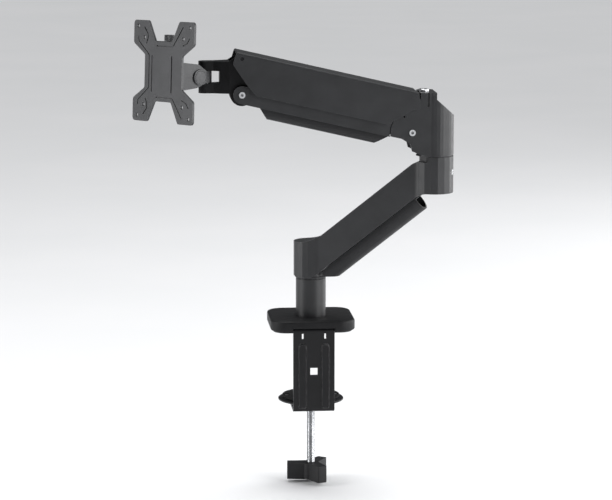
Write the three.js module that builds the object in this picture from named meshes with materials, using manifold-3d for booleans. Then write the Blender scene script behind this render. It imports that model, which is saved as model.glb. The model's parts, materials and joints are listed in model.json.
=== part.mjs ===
// Desk-clamped monitor arm: C-clamp and post, folding lower arm, gas-sprung parallelogram upper arm,
// and a pan, tilt and rotate head that carries a VESA plate.
//
// Millimetres, +Z up. The origin is on the desk surface, on the post's axis; the clamp's back plate
// faces -Y and the desk reaches away from it along +Y.
import * as THREE from "three";
import { mergeVertices } from "three/addons/utils/BufferGeometryUtils.js";
import Module from "manifold-3d";

const wasm = await Module();
wasm.setup();

const DEG = Math.PI / 180;

// ---------------------------------------------------------------- driving dimensions

const GAP = 0.3; // clearance between pieces that touch
const ROUND = 36; // sides of a large visible cylinder
const HIDDEN = 24; // sides of a bush or spindle
const SMALL = 12; // sides of a pin, screw or hole

// Desk clamp
const BASE = { halfWidth: 49, front: -43, back: 49, corner: 19, skirt: 1.2, top: 14 };
const BASE_SHELL = { wall: 2.7, roof: 2.8, edge: 2.4 };
const PAD_TOP = 2;
const PLATE = { bottom: 5.6, top: 10.6 }; // steel plate under the post
const BRACKET = {
  halfWidth: 24,
  face: -41.8,
  sheet: 3,
  bottom: -93,
  reach: 22,
  flangeTop: 5.3,
  flangeEnd: 40,
};
const THREAD_R = 4.75; // M10 clamp screw
const KNOB = { top: -162, bottom: -182, reach: 28, hub: 10.5, halfWidth: 6.4 };
const DISC = { radius: 38.2, bottom: -86.6, face: -82.6 };
const RIVET_X = 28.5;

// Swivel joints: post, spindles and sleeves
const POST = { radius: 17.5, bottom: PLATE.top + GAP, top: 59.5 };
const SPINDLE_R = 10.5;
const SLEEVE_R = 17;
const SLEEVE_BORE = SPINDLE_R + GAP;

// Lower arm
const LOWER_ANGLE = -24 * DEG; // the way it points at rest, seen from above
const LOWER_LENGTH = 148.5;
const LOWER = { baseR: 20, elbowR: 22, halfWidth: 16, fillet: 12, z0: 61.5, rise: 106, thick: 42 };
const SLOPE_START = 6.5;
const SLOPE_END = 138;
const SLOPE = Math.atan2(LOWER.rise, SLOPE_END - SLOPE_START);
const ELBOW_Z = 209.5;
const TROUGH = { halfWidth: 11.5, straight: 4.5, wall: 1.8, length: 156 };

// Upper arm: a parallelogram, tilted up by TILT at rest
const TILT = 13 * DEG;
const LINK = 197.4; // pivot to pivot
const LINK_GAP = 41; // upper pivots above the lower ones
const ELBOW_PIVOT = { h: 27.8, z: 236.6 };
const CHEEK = { outer: 21, inner: 17.5 };
const COVER = { outer: 24.7, inner: 22.6, top: 46.4, roof: 1.8 };
const UNDER = { outer: 20.5, inner: 18.9, radius: 10, floor: 1.6, clear: 25.8 };
const CHANNEL = { outer: 17, inner: 15.2, radius: 7.6, floor: 1.6 };
const BELLY = { halfWidth: 16, bottom: -21.5, top: -10.3, wall: 1.8, corner: 6 };
const PIN_R = 3;
const SMALL_PIN_R = 2.1;
const PIN_HEAD = { radius: 3.6, height: 0.9 };

// Gas strut, from the tension block in the elbow to the upper link
const TENSION = { h: 12.8, z: 252 };
const STRUT_ALONG = 150; // front eye, measured from the elbow's upper pivot along the link
const STRUT_BELOW = 12;
const STRUT = { radius: 10, bore: 7.5, rod: 4, mouth: 118, rodLength: 95 };

// Head
const PAN_AHEAD = 40.4; // pan axis beyond the head pivots
const PAN_Z = 301.3;
const HEAD_PAN = 32.6 * DEG; // the plate is turned this far from the arm's line at rest
const HEAD_LEAN = 3.6 * DEG; // the plate faces a little upwards
const HEAD_ROLL = 2 * DEG; // the plate hangs a little off level
const TILT_AHEAD = 19.2;
const LUG = { halfWidth: 7.5, bottom: 282, top: 318, gapLow: 293.2, gapHigh: 307.2 };
const CARRIER = { outer: 16.7, inner: 12.9, back: 29, front: 32 };
const VESA_PLATE = { back: 36, front: 38.5, centre: 5.2 };
const VESA = [75, 100]; // hole patterns

// ---------------------------------------------------------------- finishes

const finish = (color, roughness, metalness) => ({ color, roughness, metalness });
const COATED = finish(0x2b2c2e, 0.48, 0.35); // black powder coat on metal
const COATED_LIGHT = finish(0x353638, 0.42, 0.4); // the head's smoother black paint
const PLASTIC = finish(0x1c1d1f, 0.5, 0.0);
const RUBBER = finish(0x101011, 0.9, 0.0);
const STEEL = finish(0xb9bbbd, 0.28, 1.0);
const NYLON = finish(0x3a3b3d, 0.6, 0.0);

// ---------------------------------------------------------------- solids

// A closed three.js geometry as a solid that can be joined and cut.
function solid(geometry) {
  const bare = geometry.clone();
  bare.deleteAttribute("normal");
  bare.deleteAttribute("uv");
  const merged = mergeVertices(bare, 1e-4);
  const corners = merged.index.array;
  const triangles = [];
  for (let i = 0; i < corners.length; i += 3) {
    const [a, b, c] = corners.slice(i, i + 3);
    if (a !== b && b !== c && c !== a) triangles.push(a, b, c);
  }
  const build = (order) =>
    new wasm.Manifold(
      new wasm.Mesh({
        numProp: 3,
        vertProperties: new Float32Array(merged.attributes.position.array),
        triVerts: new Uint32Array(order),
      }),
    );
  const made = build(triangles);
  return made.volume() < 0 ? build(triangles.reverse()) : made;
}

const asSolid = (piece) => (piece.isBufferGeometry ? solid(piece) : piece);
const join = (...pieces) => pieces.map(asSolid).reduce((a, b) => a.add(b));
const cut = (piece, ...tools) => tools.map(asSolid).reduce((a, b) => a.subtract(b), asSolid(piece));
const common = (...pieces) => pieces.map(asSolid).reduce((a, b) => a.intersect(b));

function geometryOf(piece) {
  const { numProp, vertProperties, triVerts } = asSolid(piece).getMesh();
  const count = vertProperties.length / numProp;
  const position = new Float32Array(count * 3);
  for (let i = 0; i < count; i += 1) {
    position.set(vertProperties.subarray(i * numProp, i * numProp + 3), i * 3);
  }
  const geometry = new THREE.BufferGeometry();
  geometry.setAttribute("position", new THREE.BufferAttribute(position, 3));
  geometry.setIndex(new THREE.BufferAttribute(new Uint32Array(triVerts), 1));
  geometry.computeVertexNormals();
  return geometry;
}

function node(name, piece, look) {
  const made = new THREE.Mesh(geometryOf(piece), new THREE.MeshStandardMaterial(look));
  made.name = name;
  return made;
}

function block(x0, x1, y0, y1, z0, z1) {
  const box = new THREE.BoxGeometry(x1 - x0, y1 - y0, z1 - z0);
  return box.translate((x0 + x1) / 2, (y0 + y1) / 2, (z0 + z1) / 2);
}

// Cylinders along Z, Y and X.
function drumZ(r, z0, z1, x = 0, y = 0, sides = ROUND) {
  return new THREE.CylinderGeometry(r, r, z1 - z0, sides).rotateX(90 * DEG).translate(x, y, (z0 + z1) / 2);
}

function drumY(r, y0, y1, x = 0, z = 0, sides = SMALL) {
  return new THREE.CylinderGeometry(r, r, y1 - y0, sides).translate(x, (y0 + y1) / 2, z);
}

function drumX(r, x0, x1, y = 0, z = 0, sides = SMALL) {
  return new THREE.CylinderGeometry(r, r, x1 - x0, sides).rotateZ(90 * DEG).translate((x0 + x1) / 2, y, z);
}

// A profile of [radius, height] corners turned about Z.
function turned(profile, sides = ROUND) {
  const points = profile.map(([r, z]) => new THREE.Vector2(r, z));
  return new THREE.LatheGeometry([...points, points[0]], sides).rotateX(90 * DEG);
}

const ring = (inner, outer, z0, z1, sides = HIDDEN) =>
  turned([[inner, z0], [outer, z0], [outer, z1], [inner, z1]], sides);

// A closed outline from [x, y, corner radius] corners.
function outline(corners) {
  const shape = new THREE.Shape();
  corners.forEach(([x, y, radius = 0], i) => {
    const here = new THREE.Vector2(x, y);
    const before = new THREE.Vector2(...corners.at(i - 1).slice(0, 2)).sub(here).normalize();
    const after = new THREE.Vector2(...corners[(i + 1) % corners.length].slice(0, 2)).sub(here).normalize();
    if (radius === 0) {
      if (i === 0) shape.moveTo(x, y);
      else shape.lineTo(x, y);
      return;
    }
    const half = Math.acos(THREE.MathUtils.clamp(before.dot(after), -1, 1)) / 2;
    const start = here.clone().addScaledVector(before, radius / Math.tan(half));
    const end = here.clone().addScaledVector(after, radius / Math.tan(half));
    const inwards = before.clone().add(after).normalize();
    const centre = here.clone().addScaledVector(inwards, radius / Math.sin(half));
    const from = Math.atan2(start.y - centre.y, start.x - centre.x);
    const to = Math.atan2(end.y - centre.y, end.x - centre.x);
    if (i === 0) shape.moveTo(start.x, start.y);
    else shape.lineTo(start.x, start.y);
    shape.absarc(centre.x, centre.y, radius, from, to, before.cross(after) > 0);
  });
  return shape;
}

function extruded(shape, depth, steps = 3) {
  return new THREE.ExtrudeGeometry(shape, { depth, bevelEnabled: false, curveSegments: steps });
}

// Outlines drawn in the XY, XZ or YZ plane and pulled along the third axis.
const slabZ = (shape, z0, z1, steps) => extruded(shape, z1 - z0, steps).translate(0, 0, z0);
const slabY = (shape, y0, y1, steps) => extruded(shape, y1 - y0, steps).rotateX(90 * DEG).translate(0, y1, 0);

function slabX(shape, x0, x1, steps) {
  const turn = new THREE.Matrix4().makeBasis(
    new THREE.Vector3(0, 1, 0),
    new THREE.Vector3(0, 0, 1),
    new THREE.Vector3(1, 0, 0),
  );
  return extruded(shape, x1 - x0, steps).applyMatrix4(turn).translate(x0, 0, 0);
}

function group(x, y, z, turn = {}, children = []) {
  const made = new THREE.Group();
  made.position.set(x, y, z);
  made.rotation.set(turn.x ?? 0, turn.y ?? 0, turn.z ?? 0);
  children.forEach((child) => made.add(child));
  return made;
}

// A pin along Y with a low socket head on one side and a nut on the other.
function headedPin(radius, half, headR, headHeight) {
  const grip = drumY(radius, -half - headHeight / 2, half + headHeight / 2);
  const head = drumY(headR, half, half + headHeight, 0, 0, 24);
  const nut = drumY(headR, -half - headHeight, -half, 0, 0, 6);
  const socket = drumY(radius * 0.6, half - 1.2, half + headHeight + 1, 0, 0, 6);
  return cut(join(grip, head, nut), socket);
}

// ---------------------------------------------------------------- desk clamp

const baseFootprint = (inset) => {
  const half = BASE.halfWidth - inset;
  const front = BASE.front + inset;
  const back = BASE.back - inset;
  const corner = BASE.corner - inset;
  const corners = [[-half, front], [half, front], [half, back], [-half, back]];
  return outline(corners.map(([x, y]) => [x, y, corner]));
};

function baseCover() {
  const { wall, roof, edge } = BASE_SHELL;
  const start = -10;
  const crowned = new THREE.ExtrudeGeometry(baseFootprint(0), {
    depth: BASE.top - edge - start,
    curveSegments: 4,
    bevelThickness: edge,
    bevelSize: edge,
    bevelOffset: -edge,
    bevelSegments: 3,
  });
  const notch = BRACKET.halfWidth + 0.6;
  const groove = { half: 31, front: -36.8, back: -35.6, depth: 0.6 };
  return cut(
    common(crowned.translate(0, 0, start), block(-60, 60, -60, 60, BASE.skirt, BASE.top)),
    slabZ(baseFootprint(wall), -5, BASE.top - roof, 4),
    drumZ(POST.radius + GAP, 0, BASE.top + 1),
    block(-notch, notch, BASE.front - 1, BASE.front + wall + 1, 0, PLATE.bottom),
    block(-groove.half, groove.half, groove.front, groove.back, BASE.top - groove.depth, BASE.top + 1),
  );
}

const PLATE_INSET = BASE_SHELL.wall + 0.8;
const BRACKET_SCREW = { x: 14, y: -26.5 };

// Clearance for the post's bolt, whose head is sunk into the bracket's flange.
const boltHole = () => turned([[0, 0], [7.8, 0], [7.8, 3.6], [4.4, 7], [4.4, 20], [0, 20]], SMALL);

// Clearance for a countersunk screw that holds the base plate on the bracket's flange.
const screwHole = (side) =>
  turned([[0, 0], [2.8, 0], [2.8, 8.2], [4.9, 10.4], [4.9, 20], [0, 20]], SMALL)
    .translate(side * BRACKET_SCREW.x, BRACKET_SCREW.y, 0);

const basePlate = () =>
  cut(slabZ(baseFootprint(PLATE_INSET), PLATE.bottom, PLATE.top, 4), boltHole(), screwHole(-1), screwHole(1));

// Rubber sheet with a channel for the bracket's flange.
function deskPad() {
  const channel = BRACKET.halfWidth + GAP;
  return cut(
    slabZ(baseFootprint(PLATE_INSET), 0, BRACKET.flangeTop, 4),
    block(-channel, channel, -60, BRACKET.flangeEnd + GAP, PAD_TOP, 20),
    block(-channel, channel, -60, BRACKET.face + BRACKET.sheet + GAP, -1, 20),
  );
}

function post() {
  const floor = 20;
  return turned([
    [4.3, POST.bottom],
    [POST.radius, POST.bottom],
    [POST.radius, POST.top],
    [SLEEVE_BORE, POST.top],
    [SLEEVE_BORE, floor],
    [4.3, floor],
  ]);
}

const postSpindle = () => cut(drumZ(SPINDLE_R, 20.3, 97, 0, 0, HIDDEN), drumZ(4.3, 19, 38, 0, 0, SMALL));
const postBolt = () => turned([[0, 2.7], [7.3, 2.7], [7.3, 3.5], [4, 6.8], [4, 36], [0, 36]], SMALL);

function clampBracket() {
  const { face, sheet, bottom, reach, flangeTop, flangeEnd, halfWidth } = BRACKET;
  const inner = face + sheet;
  const profile = outline([
    [face, flangeTop, 3],
    [face, bottom, 5],
    [reach, bottom],
    [reach, bottom + sheet],
    [inner, bottom + sheet, 2],
    [inner, flangeTop - sheet, 1],
    [flangeEnd, flangeTop - sheet],
    [flangeEnd, flangeTop],
  ]);
  const rib = (x) => {
    const section = outline([
      [x - 3.9, face + 1],
      [x - 3.9, face, 1],
      [x - 2.2, face - 1.6, 1],
      [x + 2.2, face - 1.6, 1],
      [x + 3.9, face, 1],
      [x + 3.9, face + 1],
    ]);
    return slabZ(section, bottom + 5, -12, 2);
  };
  const slot = (x) => block(x - 1, x + 1, face - 2, inner + 1, -6.5, -0.5);
  const square = { half: 4.25, z: -45 };
  return cut(
    join(slabX(profile, -halfWidth, halfWidth), rib(-13), rib(13)),
    slot(-13),
    slot(13),
    boltHole(),
    screwHole(-1),
    screwHole(1),
    block(-square.half, square.half, face - 3, inner + 1, square.z - square.half, square.z + square.half),
    drumZ(8.4, bottom - 1, bottom + sheet + 1, 0, 0, 24),
  );
}

const bracketScrew = () => turned([[0, 2.6], [2.4, 2.6], [2.4, 8], [4.5, 10.3], [0, 10.3]], SMALL);

function clampNut() {
  const hole = THREAD_R + GAP;
  const { bottom, sheet } = BRACKET;
  const flange = bottom + sheet + GAP;
  const low = bottom + 0.2;
  const high = flange + 1.5;
  return turned([[hole, low], [8, low], [8, flange], [10.5, flange], [10.5, high], [hole, high]], 24);
}

function pressureDisc() {
  const { radius, bottom, face } = DISC;
  return cut(
    turned([
      [3.5, bottom],
      [9, bottom],
      [9, bottom + 2],
      [radius - 5, bottom + 2],
      [radius, bottom + 0.2],
      [radius, bottom + 2],
      [radius - 4.6, face],
      [0, face],
      [0, face - 1.4],
      [3.5, face - 1.4],
    ]),
    ...[-1, 1].map((side) => drumZ(2.1, bottom - 1, face + 1, side * RIVET_X, 0, SMALL)),
  );
}

function pressurePad() {
  const low = DISC.face + GAP;
  return cut(
    drumZ(33.5, low, low + 1.7),
    ...[-1, 1].map((side) => drumZ(3.6, low - 1, low + 3, side * RIVET_X, 0, SMALL)),
  );
}

function discRivet() {
  const seat = DISC.face + GAP;
  const shank = 1.8;
  const head = [[shank, seat], [3.2, seat], [2.5, seat + 1.1], [0, seat + 1.4]];
  return turned([[0, seat - 2.8], [shank, seat - 2.8], ...head], SMALL);
}

function clampRod() {
  const tip = 3.1;
  const end = (KNOB.top + KNOB.bottom) / 2;
  return turned([
    [0, end],
    [THREAD_R - 0.6, end],
    [THREAD_R, end + 0.6],
    [THREAD_R, DISC.bottom - 0.8],
    [tip, DISC.bottom - 0.3],
    [tip, DISC.face - 1.8],
    [0, DISC.face - 1.8],
  ], 24);
}

function clampKnob() {
  const { top, bottom, reach, hub, halfWidth } = KNOB;
  const lobe = outline([
    [0, -halfWidth - 1.2],
    [reach, -halfWidth + 0.6, 1.5],
    [reach, halfWidth - 0.6, 1.5],
    [0, halfWidth + 1.2],
  ]);
  const lobes = [175, -65, 55].map((angle) => slabZ(lobe, bottom, top).rotateZ(angle * DEG));
  const socket = drumZ(THREAD_R + GAP, (bottom + top) / 2 - 0.4, top + 1, 0, 0, 24);
  return cut(join(drumZ(hub, bottom, top), ...lobes), socket);
}

function deskClamp() {
  const screw = (side) => [side * BRACKET_SCREW.x, BRACKET_SCREW.y, 0];
  const rivet = (side) => [side * RIVET_X, 0, 0];
  const at = (place, child) => group(...place, {}, [child]);
  return [
    node("desk_pad", deskPad(), RUBBER),
    node("base_plate", basePlate(), COATED),
    node("base_cover", baseCover(), PLASTIC),
    node("post", post(), COATED),
    node("post_spindle", postSpindle(), STEEL),
    node("post_bolt", postBolt(), STEEL),
    node("post_washer", ring(SLEEVE_BORE, 18.6, POST.top + GAP, POST.top + 1.7), NYLON),
    node("clamp_bracket", clampBracket(), COATED),
    at(screw(-1), node("bracket_screw_left", bracketScrew(), STEEL)),
    at(screw(1), node("bracket_screw_right", bracketScrew(), STEEL)),
    node("clamp_nut", clampNut(), STEEL),
    node("pressure_disc", pressureDisc(), COATED),
    node("pressure_pad", pressurePad(), RUBBER),
    at(rivet(-1), node("disc_rivet_left", discRivet(), STEEL)),
    at(rivet(1), node("disc_rivet_right", discRivet(), STEEL)),
    node("clamp_rod", clampRod(), STEEL),
    node("clamp_knob", clampKnob(), PLASTIC),
  ];
}

// ---------------------------------------------------------------- lower arm (x runs along the arm)

// Two round collars blended into a straight beam, seen from above.
function lowerArmPlan() {
  const { baseR, elbowR, halfWidth, fillet } = LOWER;
  const offset = halfWidth + fillet;
  const reach = (r) => Math.sqrt((r + fillet) ** 2 - offset ** 2);
  const lean = (r) => Math.atan2(offset, reach(r));
  const near = reach(baseR);
  const far = LOWER_LENGTH - reach(elbowR);
  const shape = new THREE.Shape();
  shape.absarc(0, 0, baseR, lean(baseR), 2 * Math.PI - lean(baseR), false);
  shape.absarc(near, -offset, fillet, Math.PI - lean(baseR), Math.PI / 2, true);
  shape.absarc(far, -offset, fillet, Math.PI / 2, lean(elbowR), true);
  shape.absarc(LOWER_LENGTH, 0, elbowR, lean(elbowR) - Math.PI, Math.PI - lean(elbowR), false);
  shape.absarc(far, offset, fillet, -lean(elbowR), -Math.PI / 2, true);
  shape.absarc(near, offset, fillet, -Math.PI / 2, lean(baseR) - Math.PI, true);
  return shape;
}

const LOWER_BEND = SLOPE_START + 1.5; // where the underside leaves the base collar's flat end
const SHOULDER = { z: 202, x: 130.6 }; // the elbow collar is lower on its inner side

function lowerArmCasting() {
  const { z0, rise, thick } = LOWER;
  const roof = 60 + thick;
  const elbowTop = roof + rise;
  const side = outline([
    [-40, z0],
    [LOWER_BEND, z0, 6],
    [SLOPE_END, 60 + rise, 26],
    [190, 60 + rise],
    [190, elbowTop],
    [LOWER_LENGTH, elbowTop],
    [LOWER_LENGTH, SHOULDER.z, 4],
    [SHOULDER.x, SHOULDER.z, 19],
    [SLOPE_START, roof, 50],
    [-40, roof],
  ]);
  return cut(
    common(slabZ(lowerArmPlan(), 40, 230, 6), slabY(side, -40, 40, 4)),
    drumZ(SLEEVE_R + GAP, 50, 97.6, 0, 0),
    drumZ(SLEEVE_R + GAP, 170, 220, LOWER_LENGTH, 0),
    drumX(3.3, LOWER_LENGTH + 14, LOWER_LENGTH + 30, 0, 190),
  );
}

// Cable trough under the slope, open at both ends and along its top.
function lowerCableCover() {
  const { halfWidth, straight, wall, length } = TROUGH;
  const section = (inset, top) => {
    const half = halfWidth - inset;
    const shape = new THREE.Shape();
    shape.moveTo(-half, top);
    shape.lineTo(-half, -straight);
    shape.absarc(0, -straight, half, Math.PI, 2 * Math.PI, false);
    shape.lineTo(half, top);
    return shape;
  };
  const trough = cut(slabX(section(0, 0), 0, length, 6), slabX(section(wall, 2), -1, length + 1, 6));
  const placed = geometryOf(trough).rotateY(-SLOPE).translate(LOWER_BEND, 0, LOWER.z0 - 0.6);
  return common(placed, block(18.6, 200, -30, 30, LOWER.z0 + 0.7, 300));
}

function setScrew() {
  const length = 4.2;
  const body = drumX(3, LOWER.elbowR - length - 0.3, LOWER.elbowR - 0.3, 0, 190);
  const socket = drumX(1.5, LOWER.elbowR - 2, LOWER.elbowR + 1, 0, 190, 6);
  return cut(body, socket).translate([LOWER_LENGTH, 0, 0]);
}

function lowerArm() {
  const elbowSleeve = ring(SLEEVE_BORE, SLEEVE_R, 170.3, 207.8).translate(LOWER_LENGTH, 0, 0);
  return group(0, 0, 0, { z: LOWER_ANGLE }, [
    node("lower_arm_casting", lowerArmCasting(), COATED),
    node("base_sleeve", ring(SLEEVE_BORE, SLEEVE_R, LOWER.z0 + 0.2, 97.2), NYLON),
    node("elbow_sleeve", elbowSleeve, NYLON),
    node("lower_cable_cover", lowerCableCover(), PLASTIC),
    node("elbow_set_screw", setScrew(), STEEL),
  ]);
}

// ---------------------------------------------------------------- elbow (x runs towards the head)

const UPPER_PIVOT_Z = ELBOW_PIVOT.z + LINK_GAP;
const DECK = { top: 281.5, end: 18.5, under: 268, web: 16.5 };

function elbowHousing() {
  const { h, z } = ELBOW_PIVOT;
  const { outer, inner } = CHEEK;
  const tower = cut(
    drumZ(22, ELBOW_Z, DECK.top),
    slabY(outline([[3.5, 300], [-40, 300], [-40, 238], [3.5, 277]]), -30, 30),
  );
  const cheek = new THREE.Shape();
  cheek.moveTo(0, ELBOW_Z);
  cheek.lineTo(11, ELBOW_Z);
  cheek.lineTo(18.5, 211.4);
  cheek.lineTo(28, 215.5);
  cheek.lineTo(30, 223.6);
  cheek.lineTo(40, 230);
  cheek.absarc(h, z, 25, -9 * DEG, 84 * DEG, false);
  cheek.lineTo(h + 3.6, UPPER_PIVOT_Z - 2);
  cheek.lineTo(h - 3.6, UPPER_PIVOT_Z - 2);
  cheek.lineTo(DECK.end, 275);
  cheek.lineTo(DECK.end, DECK.top);
  cheek.lineTo(0, DECK.top);
  const ear = drumY(4.4, -outer, outer, h, UPPER_PIVOT_Z, 20);
  const groove = { start: 8.5, end: 11, bottom: 265.5, depth: 1.2 };
  const grooved = (y0, y1) => block(groove.start, groove.end, y0, y1, groove.bottom, DECK.top + 1);
  return cut(
    join(tower, slabY(cheek, -outer, outer), ear),
    block(DECK.web, 80, -inner, inner, 200, DECK.under),
    block(DECK.end, 80, -inner, inner, 200, 300),
    block(4.5, 30, -9, 9, 224, 276),
    drumZ(SLEEVE_BORE, 200, 219, 0, 0),
    drumZ(4.3, 270, 300, TENSION.h, 0, SMALL),
    drumY(PIN_R + GAP, -40, 40, h, z),
    drumY(SMALL_PIN_R + GAP, -40, 40, h, UPPER_PIVOT_Z),
    drumY(1.2, -40, 40, 37, 255, 8),
    grooved(-outer - 1, groove.depth - outer),
    grooved(outer - groove.depth, outer + 1),
  );
}

function tensionBolt() {
  const head = DECK.top + GAP;
  return cut(
    join(
      drumZ(4, 238, head + 1, TENSION.h, 0, SMALL),
      turned([[0, head], [6.1, head], [6.1, head + 1.9], [5.4, head + 2.6], [0, head + 2.6]], 24)
        .translate(TENSION.h, 0, 0),
    ),
    drumZ(2.4, head + 0.8, head + 5, TENSION.h, 0, 6),
  );
}

// Cross block that the tension bolt threads through; its stubs carry the strut's fork.
function tensionBlock() {
  const { h, z } = TENSION;
  return cut(
    join(block(h - 6, h + 6, -5, 5, z - 6, z + 6), drumY(PIN_R, -8.4, 8.4, h, z)),
    drumZ(4.3, z - 10, z + 10, h, 0, SMALL),
  );
}

function elbow() {
  const { h, z } = ELBOW_PIVOT;
  const lowerPin = headedPin(PIN_R, CHEEK.outer + GAP, PIN_HEAD.radius, PIN_HEAD.height);
  const upperPin = drumY(SMALL_PIN_R, -23.5, 23.5);
  return [
    node("elbow_housing", elbowHousing(), COATED),
    node("elbow_spindle", drumZ(SPINDLE_R, 170.6, 218.7, 0, 0, HIDDEN), STEEL),
    node("elbow_washer", ring(SLEEVE_BORE, 21, 208.3, 209.2), NYLON),
    node("tension_bolt", tensionBolt(), STEEL),
    node("tension_block", tensionBlock(), STEEL),
    group(h, 0, z, {}, [node("elbow_pin_lower", lowerPin, STEEL)]),
    group(h, 0, UPPER_PIVOT_Z, {}, [node("elbow_pin_upper", upperPin, STEEL)]),
  ];
}

// ---------------------------------------------------------------- parallelogram links
// x runs along the link from its elbow pivot, z square to it; the frame is tilted by TILT at rest.

const UPPER_END = { x: LINK_GAP * Math.sin(TILT), z: LINK_GAP * Math.cos(TILT) };
const STRUT_EYE = { x: UPPER_END.x + STRUT_ALONG, z: UPPER_END.z - STRUT_BELOW };

function upperLinkCover() {
  const { outer, inner, top, roof } = COVER;
  const side = outline([
    [-2.2, 28, 2],
    [3.4, top, 3],
    [214.2, top, 2],
    [215.3, 31.8, 4],
    [196, 13.4, 3],
    [182.2, 3, 6],
    [29.4, 3.5, 6],
    [6.4, 25.8, 6],
  ]);
  const section = (half, height, corner) =>
    outline([[-half, -20], [half, -20], [half, height, corner], [-half, height, corner]]);
  return cut(
    common(slabY(side, -outer, outer), slabX(section(outer, top, 2.6), -20, 240)),
    slabX(section(inner, top - roof, 1.4), -30, 250),
    drumY(SMALL_PIN_R + GAP, -40, 40, UPPER_END.x + LINK, UPPER_END.z),
    drumY(SMALL_PIN_R + GAP, -23.9, 23.9, UPPER_END.x, UPPER_END.z),
    drumY(PIN_R + GAP, -23.9, 23.9, STRUT_EYE.x, STRUT_EYE.z),
  );
}

function lowerLinkChannel() {
  const { outer, inner, radius, floor } = CHANNEL;
  const bar = join(
    block(0, LINK, -outer, outer, -radius, radius),
    drumY(radius, -outer, outer, 0, 0, 24),
    drumY(radius, -outer, outer, LINK, 0, 24),
  );
  return cut(
    bar,
    block(-20, 220, -inner, inner, floor - radius, 20),
    block(-20, 8, -inner, inner, -20, 20),
    block(182, 220, -inner, inner, -20, 20),
    drumY(PIN_R + GAP, -30, 30, 0, 0),
    drumY(PIN_R + GAP, -30, 30, LINK, 0),
  );
}

function underCover() {
  const { outer, inner, radius, floor, clear } = UNDER;
  const edge = Math.asin(radius / clear);
  const side = new THREE.Shape();
  side.absarc(0, 0, clear, edge, -edge, true);
  side.absarc(LINK, 0, radius, -Math.PI / 2, Math.PI / 2, false);
  return cut(
    slabY(side, -outer, outer, 8),
    block(0, 220, -inner, inner, floor - radius, 20),
    block(182, 220, -inner, inner, -20, 20),
    drumY(PIN_R + GAP, -30, 30, LINK, 0),
  );
}

// Clip-on cable channel below the under cover, open along its top and at both sloping ends.
function upperCableCover() {
  const { halfWidth, bottom, top, wall, corner } = BELLY;
  const side = outline([[25.4, top], [39.4, bottom], [163.4, bottom], [174.4, top]]);
  const section = (inset, height) => {
    const half = halfWidth - inset;
    const low = bottom + inset;
    const round = corner - inset;
    return outline([[-half, low, round], [half, low, round], [half, height], [-half, height]]);
  };
  return cut(
    common(slabY(side, -30, 30), slabX(section(0, 0), 0, 220)),
    slabX(section(wall, 10), -10, 230),
  );
}

function links() {
  const lowerPin = headedPin(PIN_R, UNDER.outer + GAP, PIN_HEAD.radius, PIN_HEAD.height);
  const upperPin = drumY(SMALL_PIN_R, -24.4, 24.4);
  const strutPin = drumY(PIN_R, -23.6, 23.6);
  return group(ELBOW_PIVOT.h, 0, ELBOW_PIVOT.z, { y: -TILT }, [
    node("upper_link_cover", upperLinkCover(), COATED),
    node("lower_link_channel", lowerLinkChannel(), COATED),
    node("under_cover", underCover(), PLASTIC),
    node("upper_cable_cover", upperCableCover(), PLASTIC),
    group(LINK, 0, 0, {}, [node("head_pin_lower", lowerPin, STEEL)]),
    group(LINK + UPPER_END.x, 0, UPPER_END.z, {}, [node("head_pin_upper", upperPin, COATED)]),
    group(STRUT_EYE.x, 0, STRUT_EYE.z, {}, [node("strut_pin", strutPin, STEEL)]),
  ]);
}

// ---------------------------------------------------------------- gas strut (x runs from rear to front eye)

// A point of the tilted link frame as distances along h and z of the elbow frame.
const fromLink = ({ x, z }) => ({
  h: ELBOW_PIVOT.h + x * Math.cos(TILT) - z * Math.sin(TILT),
  z: ELBOW_PIVOT.z + x * Math.sin(TILT) + z * Math.cos(TILT),
});

function gasStrut() {
  const front = fromLink(STRUT_EYE);
  const run = Math.hypot(front.h - TENSION.h, front.z - TENSION.z);
  const angle = Math.atan2(front.z - TENSION.z, front.h - TENSION.h);
  const { radius, bore, rod, mouth, rodLength } = STRUT;
  const fork = cut(
    join(drumY(5.5, -8.2, 8.2), block(0, 18, -8.2, 8.2, -5, 5)),
    block(-10, 13, -5.4, 5.4, -10, 10),
    drumY(PIN_R + GAP, -10, 10),
  );
  const rodPiece = join(fork, drumX(rod, 17, rodLength, 0, 0, SMALL));
  const tubeEnd = run - 10;
  const tube = cut(
    join(
      drumX(radius, run - mouth, tubeEnd, 0, 0, 24),
      drumX(5.5, tubeEnd - 1, run - 2, 0, 0, SMALL),
      drumY(6.5, -5, 5, run, 0, 20),
    ),
    drumX(bore, run - mouth - 1, tubeEnd - 5, 0, 0, 24),
    drumY(PIN_R + GAP, -10, 10, run, 0),
  );
  return group(TENSION.h, 0, TENSION.z, { y: -angle }, [
    node("strut_rod", rodPiece, STEEL),
    node("strut_cylinder", tube, COATED),
  ]);
}

// ---------------------------------------------------------------- head

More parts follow.
